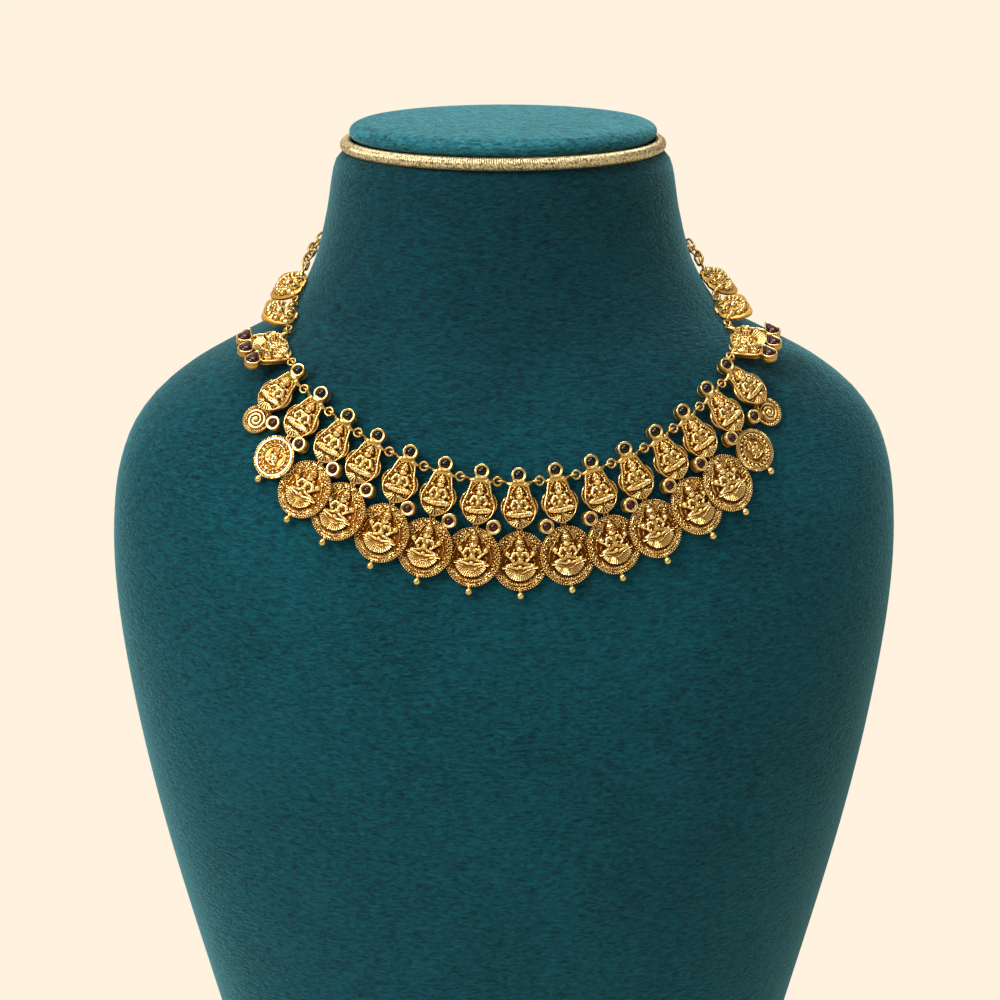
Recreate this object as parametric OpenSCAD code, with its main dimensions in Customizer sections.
// Gilded silver collar of seated-figure plaques and coins, worn by a velvet neck bust.
// Millimetres. The bust stands on z = 0 and faces -Y, with the middle of its box at x = y = 0.
// "s" is a distance along the strand from the front middle, positive on the +X side.

/* [Bust] */
// Height of the bust
bust_height = 300; // [296:1:304]
// Width over the shoulders
bust_width = 247.6; // [240:0.1:255]
// How far the middle of the neck stands behind the middle of the bust
neck_back = 15.5; // [10:0.5:20]
// Height at which the neck ends and the trim cord begins
neck_top = 290; // [289:0.5:291]
// Half width and half depth of the pad on top
pad_size = [48.2, 44.6]; // [40:0.1:50]
// Thickness of the trim cord
trim_d = 4.1; // [3.8:0.1:4.2]

/* [Strand] */
// Distance between two plaques along the strand
plaque_pitch = 10.9; // [10.8:0.1:11.2]
// Distance from a plaque's setting down to its coin's middle
coin_drop = 25.25; // [25.2:0.05:25.6]
// The same for the last small coin and for the paisley behind it
small_coin_drop = 23.4; // [23.3:0.1:24]
paisley_drop = 18.9; // [18.8:0.1:19]
// Turn of a side piece towards the front, at the ear
fan_turn = 7.1; // [5:0.1:9]
// Distances along the strand of the fan plaque and the two knob plaques
upper_at = [89.8, 105.2, 119.9]; // [80:0.1:130]
// How far the upper plaques' middles sit below the strand
upper_drop = 5.6; // [5:0.1:6]
// How far each of them stands up from the velvet along its outer edge, in degrees
upper_lift = [25, 40, 40]; // [20:1:45]
// How far the plaques' joints sit below their settings' line, and their height above the velvet
joint_drop = 2.4; // [2.2:0.1:2.6]
joint_height = 2.1; // [2:0.1:2.4]
// How far the knob plaques' joints stand above the strand, away from the bead rows below them
upper_joint_rise = 1.0; // [0.9:0.05:1.1]
// Gap between neighbouring pieces
gap = 0.15; // [0.1:0.05:0.2]

/* [Plaques and coins] */
// Half width of a plaque, and of the plate with its wings
plaque_half = 5.0; // [4.8:0.1:5.1]
wing_half = 5.7; // [5.6:0.1:5.7]
// Thickness of a plaque's and a coin's plate
plate_t = 1.0; // [0.8:0.1:1.2]
// Half width and half height of a coin
coin_half = [8.55, 9.05]; // [8:0.05:9.2]
// Thickness of a coin at its rim and inside the rim
rim_t = 0.8; // [0.7:0.05:0.9]
field_t = 0.5; // [0.4:0.05:0.6]
// Slant of the coins, which lie over their inner neighbours, and what each next coin adds to it
shingle = 6.2; // [6:0.1:7]
shingle_step = 0.5; // [0.4:0.1:0.6]
// Radius of the small coin
small_coin_r = 6.8; // [6.5:0.1:7]
// Diameter of the ball under each coin
ball_d = 2.3; // [2:0.1:2.5]

/* [Settings and chain] */
// Radius of the black stones and of the round garnets
black_r = 1.6; // [1.5:0.05:1.7]
garnet_r = 1.45; // [1.4:0.01:1.5]
// Outer radius of a plaque's and a coin's tube setting
tube_r = 2.3; // [2.2:0.05:2.4]
coin_tube_r = 2.25; // [2.2:0.05:2.3]
// Height of a tube setting
tube_h = 3.3; // [3:0.1:3.5]
// Radius and wire radius of the rings that join the plaques
joint_r = 1.25; // [1.2:0.05:1.3]
joint_wire = 0.36; // [0.3:0.02:0.38]
// The same for the small rings between a plaque and its coin
eye_r = 0.72; // [0.7:0.02:0.76]
eye_wire = 0.26; // [0.24:0.01:0.27]
// Length, width and wire radius of a chain link
link_size = [6.5, 3.7]; // [3:0.1:7]
link_wire = 0.4; // [0.35:0.05:0.42]

/* [Hidden] */
$fn = 48;
BUST_SIDES = 60;     // sides of the faceted velvet forms
SIDES = ["l", "r"];
PLAQUES = [1:7];
COINS = [1:5];

// The velvet form from its top down: distance below the top, half width, then how far the front
// and the back reach from the neck's middle, and where the widest line lies (front is negative).
FORM = [[10, 50.4, 44.6, 44.6, 0], [12, 52.2, 45.8, 45.8, 0], [16, 53.5, 46.6, 46.6, 0],
        [28, 55.4, 47.2, 47, 0], [42, 58.8, 48.5, 48, -1], [50, 62.3, 50, 49, -3],
        [55, 65.4, 51.2, 49.5, -4.5], [59, 69, 52.5, 50, -6], [63, 75, 54, 50.5, -7.5],
        [68, 85.5, 56.5, 51, -9.5], [75, 99, 60, 52, -12], [84, 110.4, 64.5, 53, -14],
        [96, 118.5, 70, 53, -15], [115, 123.3, 77, 53, -15], [145, 123.8, 82, 52, -15],
        [185, 118.5, 84, 50, -15], [230, 109.1, 81, 46, -14], [300, 90.6, 70, 41, -12]];
FORM_HALF = 1; FORM_FRONT = 2; FORM_BACK = 3; FORM_MID = 4;
// The strand's height by its angle round the neck, from the front
RAIL = [[0, 202.2], [14, 204.4], [28, 209.7], [40, 217.4], [50, 225], [60, 231.8], [75, 241.5],
        [90, 254], [120, 262], [180, 264]];
// A plaque's outline: distance up from its middle, half width
PEAR = [[-8, 0.4], [-7.6, 1.6], [-6.8, 2.9], [-5.5, 4.1], [-4, 4.8], [-2.2, 4.95], [0, 4.3], [1.5, 3.75],
        [3, 3.4], [4.4, 3], [5.9, 2.5]];
// A fan plaque's outline: distance up from its middle, half length
FAN = [[-5.8, 5], [-5, 6.7], [-3.4, 7.6], [-1, 7.75], [1.5, 7.7], [3.4, 7.3], [4.8, 5.9], [5.4, 4.2]];
// The same of a knob plaque
KNOB = [[-5.2, 4.4], [-4.4, 6.1], [-2.6, 6.9], [0, 7.1], [2.2, 6.3], [3.8, 5.1], [4.8, 3.4]];

function unit(v) = v / norm(v);
// A smooth curve through column c of a table, whose first column is x
function row_at(t, x) = max([for (i = [0:len(t) - 2]) if (i == 0 || t[i][0] <= x) i]);
function slope(t, c, i) = let (a = max(i - 1, 0), b = min(i + 1, len(t) - 1))
    (t[b][c] - t[a][c]) / (t[b][0] - t[a][0]);
function smooth(t, c, x) =
    let (i = row_at(t, x), h = t[i + 1][0] - t[i][0], u = min(max((x - t[i][0]) / h, 0), 1))
    (2 * u^3 - 3 * u^2 + 1) * t[i][c] + (u^3 - 2 * u^2 + u) * h * slope(t, c, i)
    + (3 * u^2 - 2 * u^3) * t[i + 1][c] + (u^3 - u^2) * h * slope(t, c, i + 1);

// The velvet form's level section: half width, y of its widest line, half depth in front and behind
function section(z) = let (d = bust_height - z, m = smooth(FORM, FORM_MID, d))
    [smooth(FORM, FORM_HALF, d) * bust_width / 247.6, m,
     smooth(FORM, FORM_FRONT, d) + m, smooth(FORM, FORM_BACK, d) - m];
function depth_of(c, y) = y < c[1] ? c[2] : c[3];
// Zero on the velvet, positive outside it
function outside(p) = let (c = section(p.z))
    (p.x / c[0])^2 + ((p.y - c[1]) / depth_of(c, p.y))^2 - 1;
function grad(p) = let (c = section(p.z), r = depth_of(c, p.y), e = 0.05)
    [2 * p.x / c[0]^2, 2 * (p.y - c[1]) / r^2,
     (outside(p + [0, 0, e]) - outside(p - [0, 0, e])) / (2 * e)];
function land(p, n = 2) = n == 0 ? p : let (g = grad(p)) land(p - outside(p) * g / (g * g), n - 1);
// From p along the velvet in direction d: the point reached and the direction there
function walk(p, d, length, n = 6) = n == 0 ? [p, d] :
    let (q = land(p + d * length / n), m = unit(grad(q)))
    walk(q, unit(d - (d * m) * m), length * (n - 1) / n, n - 1);

// The strand's point at angle t round the neck
function ray(t, c, r) =
    let (a = (sin(t) / c[0])^2 + (cos(t) / r)^2, b = 2 * c[1] * cos(t) / r^2, k = (c[1] / r)^2 - 1)
    (-b + sqrt(b^2 - 4 * a * k)) / (2 * a);
function rail(t) =
    let (z = smooth(RAIL, 1, abs(t)), c = section(z), f = ray(t, c, c[2]), b = ray(t, c, c[3]),
         k = -f * cos(t) <= c[1] ? f : b)
    [k * sin(t), -k * cos(t), z];
TURNS = [for (i = [0:90]) 2 * i];
RAIL_POINTS = [for (t = TURNS) rail(t)];
TURN_BY_S = [for (i = 0, s = 0; i <= 90;
    s = s + (i < 90 ? norm(RAIL_POINTS[i + 1] - RAIL_POINTS[i]) : 0), i = i + 1) [s, TURNS[i]]];
function turn(s) = sign(s) * lookup(abs(s), TURN_BY_S);

// A frame is [origin, x along the strand, y up the velvet, z off the velvet]
function frame(p, up, z) = let (y = unit(up - (up * z) * z)) [p, cross(y, z), y, z];
function strand(s) = let (t = turn(s), p = rail(t), n = unit(grad(p)))
    frame(p, cross(n, rail(t + 0.5) - rail(t - 0.5)), n);
function place(f, p) = f[0] + f[1] * p.x + f[2] * p.y + f[3] * p.z;
// A frame at a distance down the velvet from the strand
function hang(s, down) = let (f = strand(s), b = fan_turn * sin(turn(s)),
    w = walk(f[0], -f[2] * cos(b) - f[1] * sin(b), down)) frame(w[0], -w[1], unit(grad(w[0])));
// The frame tipped about its y axis by a degrees
function tipped(f, a) = [f[0], f[1] * cos(a) - f[3] * sin(a), f[2], f[3] * cos(a) + f[1] * sin(a)];
// The frame turned about its x axis so that its outer edge stands a degrees off the velvet
function lifted(f, a) = [f[0], f[1], f[2] * cos(a) - f[3] * sin(a), f[3] * cos(a) + f[2] * sin(a)];
// Height of the velvet over [x, y] of a frame
function velvet(f, p, t = 0, n = 4) = n == 0 ? t :
    let (q = place(f, [p.x, p.y, t])) velvet(f, p, t - outside(q) / (grad(q) * f[3]), n - 1);
// The frame raised until each [x, y, needed height] is clear of the velvet
function rested(f, pts) = let (h = max([for (p = pts) velvet(f, p) + p.z])) [f[0] + f[3] * h, f[1], f[2], f[3]];

function sign_of(side) = side == "r" ? 1 : -1;
function plaque_s(k) = k * plaque_pitch;
function plaque_frame(k) = rested(hang(plaque_s(k), 8.0),
    [[0, 8, 1.2], [0, 9.5, 1.2], [0, -8, 2.15], [0, -2.5, abs(k) == 7 ? 2.1 : 0.9],
     [wing_half, -2.5, 0.9], [-wing_half, -2.5, 0.9]]);
function slant(k) = sign(k) * (shingle + shingle_step * abs(k));
function coin_frame(k) = rested(tipped(hang(plaque_s(k), coin_drop), slant(k)),
    concat([[0, 0, k == 0 ? 0.65 : 1.35], [0, 10.5, k == 0 ? 0.45 : 1.2], [0, -10.4, 0.75]],
           [for (a = [0:45:315]) [coin_half.x * cos(a), coin_half.y * sin(a), 0.3]]));
function small_coin_frame(k) = rested(tipped(hang(plaque_s(k), small_coin_drop), slant(k)),
    concat([[0, 0, 1.35], [0, 8.4, 1.2], [0, -8.4, 0.75]],
           [for (a = [0:45:315]) [small_coin_r * cos(a), small_coin_r * sin(a), 0.3]]));
function paisley_frame(k) = rested(hang(plaque_s(k), paisley_drop),
    concat([[0, PAISLEY_TIP, 0.3]], [for (a = [0:45:315]) [PAISLEY_R * cos(a), PAISLEY_R * sin(a), 0.3]]));
function upper_frame(side, i, half) = rested(lifted(hang(sign_of(side) * upper_at[i], upper_drop), upper_lift[i]),
    concat([[0, 0, 0.5]], [for (a = [0:45:315]) [half.x * cos(a), half.y * sin(a), 0.4]]));
// The two joints of the knob plaques sit above the strand, those at both ends of the upper group on it
ON_STRAND = 0.01;
function drop_of(a) = a < JOINTS[7] ? joint_drop : a < JOINTS[8] || a > JOINTS[9] ? ON_STRAND : -upper_joint_rise;
function joint_frame(s) = rested(hang(s, drop_of(abs(s))),
    [for (x = [-2, 0, 2]) [x, 0, joint_height]]);
// Where the joints are: after each plaque, then between the upper plaques, and the chain's first ring
JOINTS = concat([for (k = [0.5:6.5]) plaque_s(k)], [81.2, 97.6, 112.5, 128]);

module at(f) multmatrix([[f[1].x, f[2].x, f[3].x, f[0].x], [f[1].y, f[2].y, f[3].y, f[0].y],
                         [f[1].z, f[2].z, f[3].z, f[0].z], [0, 0, 0, 1]]) children();
module on_bust() translate([0, neck_back, 0]) children();
module gold() color("goldenrod") on_bust() children();
module velvet_teal() color("darkslategray") on_bust() children();

// A straight round bar from a to b
module bar(a, b, ra, rb) let (d = b - a)
    translate(a) rotate([0, acos(d.z / norm(d)), atan2(d.y, d.x)]) cylinder(h = norm(d), r1 = ra, r2 = rb);
// Bars through the points, with a round joint at each
module limb(pts, r) {
    for (i = [0:len(pts) - 2]) bar(pts[i], pts[i + 1], r, r);
    for (p = pts) translate(p) sphere(r * 1.15);
}
module ring(r, wire) rotate_extrude() translate([r, 0]) circle(wire);
module both() { children(); mirror([1, 0, 0]) children(); }
// Outline from a table of heights and half widths, drawn in by "inset" and cut short by "trim"
function outline(t, inset = 0, trim = 0, n = 14) =
    let (y0 = t[0][0] + trim, y1 = t[len(t) - 1][0] - trim, ys = [for (i = [0:n]) y0 + (y1 - y0) * i / n])
    concat([for (y = ys) [smooth(t, 1, y) - inset, y]],
           [for (i = [n:-1:0]) [inset - smooth(t, 1, ys[i]), ys[i]]]);
// Oval of a few arcs, a little higher than wide
OVAL_SHIFT = 1.05;
module oval(half) intersection() {
    circle(half.y);
    translate([-OVAL_SHIFT, 0]) circle(half.x + OVAL_SHIFT);
    translate([OVAL_SHIFT, 0]) circle(half.x + OVAL_SHIFT);
}

// Tube setting, open at the top, with its lip turned in over the stone
module tube_setting(outer, stone_r) rotate_extrude()
    polygon([[0, 0], [outer, 0], [outer, tube_h], [stone_r - 0.12, tube_h], [stone_r - 0.12, tube_h - 0.25],
             [stone_r + 0.12, tube_h - 0.25], [stone_r + 0.12, 0.6], [0, 0.6]]);
// Round domed stone that fits the tube
module tube_stone(r) {
    translate([0, 0, 0.75]) cylinder(h = tube_h - 2, r = r);
    intersection() {
        translate([0, 0, tube_h - 1.25]) sphere(r);
        translate([0, 0, tube_h - 1.3]) cylinder(h = 4, r = r + 1);
    }
}
// Teardrop outline: most of a circle, closed by two straight sides that meet at the tip
module tear(r, tip, n = 14) let (a = acos(r / tip), step = (360 - 2 * a) / n)
    polygon(concat([[0, tip]], [for (i = [n:-1:0]) [r * sin(a + i * step), r * cos(a + i * step)]]));
module tear_stone() translate([0, 0, 0.65]) {
    linear_extrude(1.9) tear(1.86, 4.3);
    translate([0, 0, 1.7]) sphere(1.3);
}

// Cross-legged seated figure with a tall crown, raised arms holding buds, 9 high
module figure() {
    translate([0, 1.9, 0.75]) sphere(0.95);
    bar([0, 2.5, 0.6], [0, 5.3, 0.3], 0.85, 0.3);
    translate([0, 0.1, 0.5]) sphere(1.2);
    translate([0, -1.5, 0.45]) sphere(1.05);
    both() {
        bar([2.9, -2.5, 0.35], [-0.8, -3.3, 0.5], 0.75, 0.5);
        bar([1.0, 0.6, 0.4], [2.5, -1.6, 0.5], 0.45, 0.4);
        bar([1.0, 0.6, 0.3], [2.9, 2.2, 0.4], 0.42, 0.35);
        translate([2.9, 2.4, 0.4]) sphere(0.65);
    }
}
// Fan of petals under the figure
module lotus(r, n) {
    linear_extrude(0.9) {
        intersection() {
            difference() { circle(r); circle(r - 1.6); }
            translate([-r - 1, -r - 1]) square([2 * r + 2, r + 1]);
        }
        for (i = [0:n - 1]) rotate(-90 + 156 * (i / (n - 1) - 0.5)) translate([r - 0.2, 0]) circle(0.6);
    }
    both() translate([r - 1.1, 0.2, 0.5]) sphere(0.75);
}

// Ring of the outer piece, and the loop of the inner piece that goes through it. The loop stands off
// the velvet, the ring lies along it. "way" is 1 when the outer piece is on the +x side.
module joint_ring(s, to, way, r = joint_r) {
    f = joint_frame(s);
    at(f) translate([way * joint_r / 2, 0, 0]) ring(r, joint_wire);
    bar(place(f, [way * (joint_r / 2 + r), 0, 0]), to, 0.5, 0.8);
}
module joint_loop(s, to, way) {
    f = joint_frame(s);
    at(f) translate([-way * joint_r / 2, 0, 0]) rotate([90, 0, 0]) ring(joint_r, joint_wire);
    bar(place(f, [-way * joint_r * 1.5, 0, 0]), to, 0.45, 0.8);
}

WING_R = 4.3;
TIP_ROOM = [1.3, 0.5];                               // radius and height of the room for the coin's eye
// Pear-shaped plaque with its tube setting on top and a loop under its tip
module plaque_plate() {
    difference() {
        linear_extrude(plate_t + 0.35) polygon(outline(PEAR));
        translate([0, 0, plate_t]) linear_extrude(1) polygon(outline(PEAR, 0.7, 1));
        translate([0, -8, -1]) cylinder(h = 1 + TIP_ROOM[1], r = TIP_ROOM[0]);
    }
    both() translate([wing_half - WING_R, -1.7, 0.2]) cylinder(h = plate_t - 0.3, r = WING_R);
    translate([0, -0.7, plate_t - 0.3]) figure();
    translate([0, -2.8, plate_t - 0.4]) scale(0.9) lotus(4.0, 7);
    translate([0, 8, -0.9]) tube_setting(tube_r, black_r);
    bar([0, 4.3, 0.7], [0, 6.1, 0.8], 1.45, 1.9);
}
module plaque(k) gold() {
    f = plaque_frame(k);
    way = k < 0 ? -1 : 1;
    collar = function (w) place(f, [w * 2.3, 5.3, 0.6]);
    at(f) plaque_plate();
    if (k == 0) {
        joint_loop(JOINTS[0], collar(1), 1);
        joint_loop(-JOINTS[0], collar(-1), -1);
    } else {
        joint_ring(way * JOINTS[abs(k) - 1], collar(-way), way);
        joint_loop(way * JOINTS[abs(k)], abs(k) < 7 ? collar(way) : place(f, [way * 2.4, 8.1, -0.2]), way);
    }
    tip_loop(f, k);
}
// Where a hanging piece's top eye is, in its own frame
function eye_at(k) = abs(k) <= 5 ? [0, coin_half.y + 0.45, k == 0 ? 0.55 : 0.15]
    : abs(k) == 6 ? [0, small_coin_r + 0.45, 0.15] : [0, PAISLEY_TIP + 0.55, 1.0];
function hung_frame(k) = abs(k) <= 5 ? coin_frame(k) : abs(k) == 6 ? small_coin_frame(k) : paisley_frame(k);
// Loop under a plaque's tip, through the eye of the piece that hangs from it. The paisley's eye lies
// beneath the plaque, so its loop stands on the plaque's back.
module tip_loop(f, k) {
    w = place(hung_frame(k), eye_at(k) + [0, eye_r, 0]);
    beneath = abs(k) == 7;
    up = beneath ? f[3] : unit(place(f, [0, -5.5, 0.3]) - w);
    at(frame(w, beneath ? f[2] : up, f[3])) rotate([0, 90, 0]) ring(eye_r, eye_wire);
    bar(w + up * eye_r, place(f, [0, beneath ? -2.6 : -5.6, 0.5]), 0.3, 0.5);
}

// Top eye, bottom ball and tube setting shared by what hangs under the plaques
module hung_fittings(k, r, tube_at) {
    e = eye_at(k);
    translate(e) ring(eye_r, eye_wire);
    bar([0, -r + 0.4, 0.65], [0, -r - 0.7, 0.62], 0.55, 0.5);
    translate([0, -r - 1.3, 0.6]) sphere(ball_d / 2);
    if (k != 0) tube_on(k, tube_at);
}
// Tube setting beside the plate, soldered by a short bar to the plate's round part
module tube_on(k, tube_at, middle = [0, 0, 0.3]) {
    c = [-sign(k) * tube_at.x, tube_at.y, 0.3];
    to = unit(middle - c);
    translate([c.x, c.y, foot_of(k)]) tube_setting(coin_tube_r, garnet_r);
    bar(c + to * (coin_tube_r - 0.35), c + to * (coin_tube_r + 1.7), 0.45, 0.45);
}
function foot_of(k) = abs(k) == 7 ? 0.2 : -0.5;
COIN_TUBE = [5.6, 9.6];
SMALL_COIN_TUBE = [5.4, 7.7];
PAISLEY_TUBE = [6.3, 2.5];
PAISLEY_R = 4.6;
PAISLEY_TIP = 7.4;                                   // from the drop's middle up to its tip
function tube_of(k) = abs(k) <= 5 ? COIN_TUBE : abs(k) == 6 ? SMALL_COIN_TUBE : PAISLEY_TUBE;

module coin(k) gold() at(coin_frame(k)) {
    linear_extrude(field_t) oval(coin_half);
    linear_extrude(rim_t) difference() {
        oval(coin_half);
        oval(coin_half - [0.9, 0.9]);
    }
    translate([0, 1.6, 0.75]) scale(1.05) figure();
    translate([0, -1.0, field_t - 0.1]) lotus(4.7, 9);
    hung_fittings(k, coin_half.y, COIN_TUBE);
}
module small_coin(k) gold() at(small_coin_frame(k)) {
    cylinder(h = field_t, r = small_coin_r);
    linear_extrude(rim_t) difference() { circle(small_coin_r); circle(small_coin_r - 0.8); }
    linear_extrude(rim_t + 0.2) difference() { circle(small_coin_r - 1.7); circle(small_coin_r - 2.3); }
    translate([0, -0.3, field_t]) scale(0.62) figure();
    hung_fittings(k, small_coin_r, SMALL_COIN_TUBE);
}
// Drop-shaped plate with a raised spiral, whose tip runs in under its plaque
module paisley(k) gold() at(paisley_frame(k)) {
    linear_extrude(0.9) tear(PAISLEY_R, PAISLEY_TIP, 24);
    bar([0, PAISLEY_TIP - 1.8, 0.5], [0, PAISLEY_TIP, 1.0], 0.5, 0.3);
    translate([0, -1.4, 0.9]) ring(2.8, 0.4);
    translate([0, -1.4, 0.9]) ring(1.5, 0.4);
    translate([0, -1.4, 0.7]) sphere(0.8);
    translate(eye_at(k)) ring(eye_r, eye_wire);
    tube_on(k, PAISLEY_TUBE, [0, 0, 0.4]);
}
FAN_HALF = [7.75, 5.8];
KNOB_HALF = [7.1, 5.2];
DROPS = [[-6.9, -7.3], [-0.6, -8.2], [5.6, -7.4]];   // middles of the fan plaque's three teardrops
DROP_TURN = 60;                                      // their tips lean back along the strand
module drop_at(i, way) translate([way * DROPS[i].x, DROPS[i].y, -0.2]) rotate(-way * DROP_TURN) children();
// Fan-footed plaque with scrolls, a figure and three teardrop settings along its foot
module fan_plaque(side) gold() {
    way = sign_of(side);
    f = upper_frame(side, 0, FAN_HALF);
    at(f) {
        difference() {
            union() {
                linear_extrude(plate_t) polygon(outline(FAN));
                translate([0, -0.4, plate_t - 0.3]) scale(1.05) lotus(5.2, 9);
                for (i = [0:2]) drop_at(i, way) linear_extrude(2.5) tear(2.5, 5.6);
                for (p = DROPS) bar([way * p.x, p.y, 0.4], [way * p.x, p.y, 0.8] * 0.5, 0.5, 0.5);
            }
            for (i = [0:2]) drop_at(i, way) translate([0, 0, 0.5]) linear_extrude(5) tear(2.0, 4.6);
        }
        translate([0, 1.2, plate_t - 0.3]) scale(0.75) figure();
        both() translate([5.2, 1.2, plate_t]) { ring(1.5, 0.4); sphere(0.8); }
    }
    joint_ring(way * JOINTS[7], place(f, [-way * 5.2, 3.4, 0.6]), way);
    joint_loop(way * JOINTS[8], place(f, [way * 5.2, 3.4, 0.6]), way);
}
// Rounded plaque covered in knobs, with two holes by the neck; n is 1 or 2
module knob_plaque(side, n) gold() {
    way = sign_of(side);
    f = upper_frame(side, n, KNOB_HALF);
    at(f) {
        difference() {
            linear_extrude(plate_t) polygon(outline(KNOB));
            both() translate([1.9, 3.0, -1]) cylinder(h = 4, r = 0.8);
        }
        for (a = [185:34:355]) translate([5.3 * cos(a), 3.8 * sin(a), plate_t]) sphere(1.35);
        for (x = [-4.6, 4.6]) translate([x, 2.2, plate_t]) sphere(1.2);
        translate([0, -0.4, plate_t - 0.1]) sphere(1.9);
        bar([0, 0.6, 1.3], [0, 3.0, 0.9], 1.1, 0.6);
    }
    joint_ring(way * JOINTS[7 + n], place(f, [-way * 4.8, 2.4, 0.6]), way);
    if (n == 1) joint_loop(way * JOINTS[9], place(f, [way * 4.8, 2.4, 0.6]), way);
    else end_ring(way, place(f, [way * 4.8, 2.4, 0.6]));
}
END_RING_R = 1.6;
module end_ring(way, to) {
    f = joint_frame(way * JOINTS[10]);
    at(f) ring(END_RING_R, joint_wire);
    bar(place(f, [-way * END_RING_R, 0, 0]), to, 0.5, 0.9);
}

// The chain runs from the end rings to the hook at the nape
HALF_LOOP = TURN_BY_S[90][0];
LINK_PITCH = (link_size.x - 4 * link_wire - gap) * 0.94;   // shorter on the velvet than at the chain's height
LINK_REACH = link_size.x / 2 - link_wire;            // from a link's middle to its end wire
CHAIN_START = JOINTS[10] + LINK_REACH;
HOOK_HALF = 5.4;                                     // half the distance between the chains' end wires
CHAIN_LINKS = ceil((HALF_LOOP - HOOK_HALF - LINK_REACH - CHAIN_START) / LINK_PITCH) + 1;
CHAIN_STEP = (HALF_LOOP - HOOK_HALF - LINK_REACH - CHAIN_START) / (CHAIN_LINKS - 1);
CHAIN_HEIGHT = 2.2;
module chain_link() let (r = link_size.y / 2 - link_wire, h = link_size.x / 2 - link_wire - r) {
    both() {
        translate([h, 0, 0]) rotate(-90) rotate_extrude(angle = 180) translate([r, 0]) circle(link_wire);
        translate([-h, r, 0]) rotate([0, 90, 0]) cylinder(h = 2 * h, r = link_wire);
    }
    translate([-h, -r, 0]) rotate([0, 90, 0]) cylinder(h = 2 * h, r = link_wire);
}
module chain(side) gold() for (i = [0:CHAIN_LINKS - 1])
    at(rested(strand(sign_of(side) * (CHAIN_START + i * CHAIN_STEP)), [[0, 0, CHAIN_HEIGHT]]))
        rotate([i % 2 == 0 ? 45 : -45, 0, 0]) chain_link();
// Wire hook: an eye that stays on the left chain, and a bent hook that the right chain's end link sits in
HOOK_TURN = (CHAIN_LINKS - 1) % 2 == 0 ? -45 : 45;   // square to the end links
function last_link(way) = rested(strand(way * (CHAIN_START + (CHAIN_LINKS - 1) * CHAIN_STEP)), [[0, 0, CHAIN_HEIGHT]]);
module hook() gold() let (r = 1.2, c = 0.15, right = last_link(1), left = last_link(-1)) {
    at(left) translate([-LINK_REACH, 0, 0]) rotate([HOOK_TURN, 0, 0]) ring(1.3, link_wire);
    bar(place(left, [-LINK_REACH - 1.3, 0, 0]),
        place(right, [LINK_REACH + c, -r * cos(HOOK_TURN), -r * sin(HOOK_TURN)]), link_wire, link_wire);
    at(right) translate([LINK_REACH + c, 0, 0]) rotate([HOOK_TURN, 0, 0]) {
        rotate(90) rotate_extrude(angle = 180) translate([r, 0]) circle(link_wire);
        translate([0, r, 0]) rotate([0, 90, 0]) cylinder(h = 3, r = link_wire);
        for (y = [-r, r]) translate([0, y, 0]) sphere(link_wire * 1.12);
        translate([3, r, 0]) sphere(0.6);
    }
}

module black_stones() color("black") on_bust() for (k = [-7:7])
    at(plaque_frame(k)) translate([0, 8, -0.9]) tube_stone(black_r);
module round_garnets() color("darkred") on_bust() for (k = [-7:7]) if (k != 0)
    at(hung_frame(k)) translate([-sign(k) * tube_of(k).x, tube_of(k).y, foot_of(k)]) tube_stone(garnet_r);
module teardrop_garnets() color("darkred") on_bust() for (side = SIDES)
    at(upper_frame(side, 0, FAN_HALF)) for (i = [0:2]) drop_at(i, sign_of(side)) tear_stone();

// Faceted solid through level rings of [z, half width, front, back, y of the widest line]
function ring_points(r, n) = [for (i = [0:n - 1]) let (t = 360 * i / n, y = sin(t))
    [r[1] * cos(t), r[4] + y * (y > 0 ? r[3] - r[4] : r[2] + r[4]), r[0]]];
module rings(rows, n = BUST_SIDES) polyhedron(
    [for (r = rows) each ring_points(r, n)],
    concat([[for (i = [n - 1:-1:0]) i]], [[for (i = [0:n - 1]) (len(rows) - 1) * n + i]],
           [for (j = [0:len(rows) - 2], i = [0:n - 1])
               [j * n + i, j * n + (i + 1) % n, (j + 1) * n + (i + 1) % n, (j + 1) * n + i]]));
FORM_LEVELS = [300, 280, 258, 236, 214, 192, 172, 153, 136, 121, 109, 99, 91, 84.5, 79, 75, 71.5, 68.5, 66,
               64, 62, 60, 58, 56, 54, 51.5, 48, 44, 39, 33, 27, 21, 16.5, 14, 12.3, 11, 10];
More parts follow.
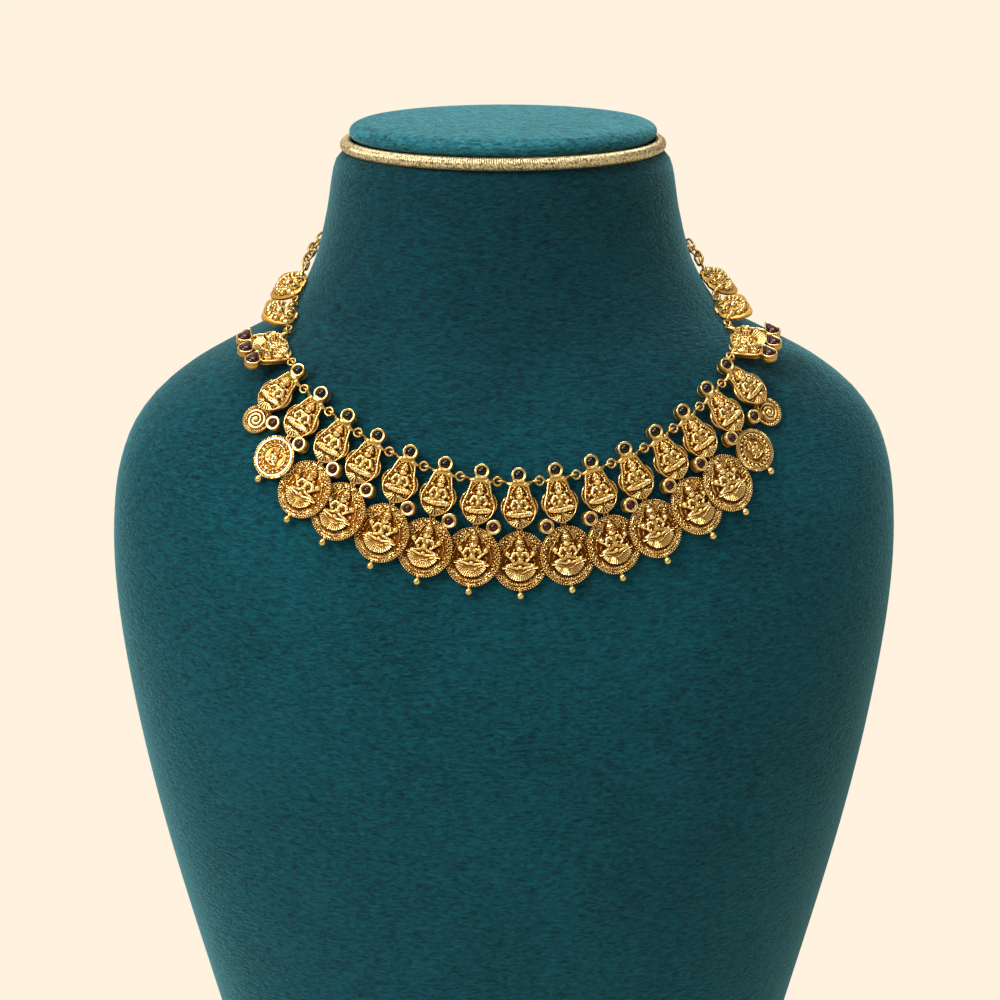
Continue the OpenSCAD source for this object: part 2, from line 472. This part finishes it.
module bust_body() velvet_teal() rings([for (d = FORM_LEVELS) let (z = bust_height - d, c = section(z))
    [z, c[0], c[2] - c[1], c[3] + c[1], c[1]]]);

// Pad on top: a neck inside the trim cord, then a rounded edge and a slightly domed top
PAD_NECK = 4.6;                                      // how far the pad's neck stands in from its edge
PAD_TOP = [[0, PAD_NECK], [3.1, PAD_NECK], [4.1, 1.3], [5.0, 0.35], [6.2, 0], [7.4, 0.5], [8.4, 1.9],
           [9.0, 4.2], [9.5, 12], [9.85, 26]];       // height above the neck's top, distance in from the edge
module bust_pad() velvet_teal() rings([for (p = PAD_TOP)
    [neck_top + gap + p[0], pad_size.x - p[1], pad_size.y - p[1], pad_size.y - p[1], 0]]);
// Trim cord round the pad's neck
TRIM_STEPS = 90;
TRIM_SIDES = 10;
module bust_trim() color("tan") on_bust() let (h = pad_size + [0.9, 0.9], r = trim_d / 2, z = neck_top + gap + r)
    polyhedron(
        [for (i = [0:TRIM_STEPS - 1], j = [0:TRIM_SIDES - 1])
            let (t = 360 * i / TRIM_STEPS, a = 360 * j / TRIM_SIDES, n = unit([cos(t) / h.x, sin(t) / h.y]))
            [h.x * cos(t) + n.x * r * cos(a), h.y * sin(t) + n.y * r * cos(a), z + r * sin(a)]],
        [for (i = [0:TRIM_STEPS - 1], j = [0:TRIM_SIDES - 1])
            let (i2 = (i + 1) % TRIM_STEPS, j2 = (j + 1) % TRIM_SIDES)
            [i * TRIM_SIDES + j, i * TRIM_SIDES + j2, i2 * TRIM_SIDES + j2, i2 * TRIM_SIDES + j]]);

function names(stem, range, sides = SIDES) = [for (side = sides, k = range) str(stem, "_", side, k)];

bust_body();
bust_pad();
bust_trim();
plaque(0);  // plaque_middle
for (side = SIDES, k = PLAQUES)
    plaque(sign_of(side) * k);
coin(0);  // coin_middle
for (side = SIDES, k = COINS)
    coin(sign_of(side) * k);
for (side = SIDES) {
    small_coin(sign_of(side) * 6);
    paisley(sign_of(side) * 7);
    fan_plaque(side);
    for (n = [1:2]) knob_plaque(side, n);
    chain(side);
}
hook();
black_stones();
round_garnets();
teardrop_garnets();
